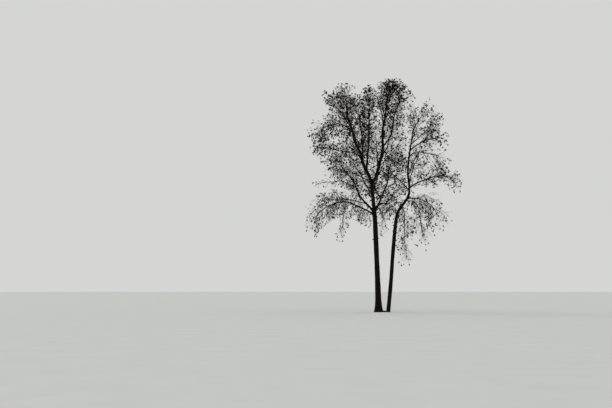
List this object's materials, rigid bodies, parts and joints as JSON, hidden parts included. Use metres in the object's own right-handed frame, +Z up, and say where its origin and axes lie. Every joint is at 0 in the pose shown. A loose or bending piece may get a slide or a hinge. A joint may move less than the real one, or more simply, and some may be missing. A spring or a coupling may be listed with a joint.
{
  "type": "dead tree",
  "caption": "Dead broadleaf tree whose two slender stems rise from one foot into a tall open crown of bare twigs that still hold withered leaves.",
  "frame": {"origin": "Middle of the larger stem's flat foot, at ground level", "axes": "+Z up along the tree; X along the crown's wide side, with the smaller stem on +X; -Y is the side that the tree is seen from"},
  "size_m": [12.2606, 7.8437, 18.0927],
  "materials": {
    "bark": "rough weathered grey-brown bark, nearly black",
    "twigs": "dull dark twigs with withered brown leaves"
  },
  "bodies": {
    "root": {"arching_left_bough": "bark", "arching_left_twigs": "twigs", "arching_right_bough": "bark", "arching_right_twigs": "twigs", "back_left_bough": "bark", "back_left_twigs": "twigs", "back_of_right_bough": "bark", "back_of_right_twigs": "twigs", "back_right_bough": "bark", "back_right_twigs": "twigs", "between_leaders_twigs": "twigs", "drooping_right_twigs": "twigs", "far_left_twigs": "twigs", "front_inner_twigs": "twigs", "front_left_bough": "bark", "front_left_twigs": "twigs", "front_of_right_bough": "bark", "front_of_right_twigs": "twigs", "front_right_bough": "bark", "front_right_twigs": "twigs", "hanging_inner_twigs": "twigs", "hanging_left_twigs": "twigs", "hanging_right_twigs": "twigs", "inner_back_twigs": "twigs", "inner_left_bough": "bark", "inner_left_twigs": "twigs", "inner_low_twigs": "twigs", "inner_right_twigs": "twigs", "left_leader_bough": "bark", "left_leader_twigs": "twigs", "left_spray_twigs": "twigs", "left_stem": "bark", "long_right_bough": "bark", "long_right_twigs": "twigs", "low_right_bough": "bark", "low_right_side_twigs": "twigs", "low_right_twigs": "twigs", "middle_leader_bough": "bark", "middle_leader_twigs": "twigs", "middle_left_bough": "bark", "middle_left_twigs": "twigs", "middle_right_twigs": "twigs", "right_leader_bough": "bark", "right_leader_fork_twigs": "twigs", "right_leader_twigs": "twigs", "right_shoulder_bough": "bark", "right_shoulder_twigs": "twigs", "right_stem": "bark", "right_top_front_twigs": "twigs", "right_top_twigs": "twigs", "rising_left_bough": "bark", "rising_left_twigs": "twigs", "side_left_twigs": "twigs", "upper_arching_left_twigs": "twigs", "upper_back_twigs": "twigs", "upper_left_twigs": "twigs", "upper_right_bough": "bark", "upper_right_inner_twigs": "twigs", "upper_right_side_twigs": "twigs", "upper_right_twigs": "twigs"}
  },
  "joints": []
}
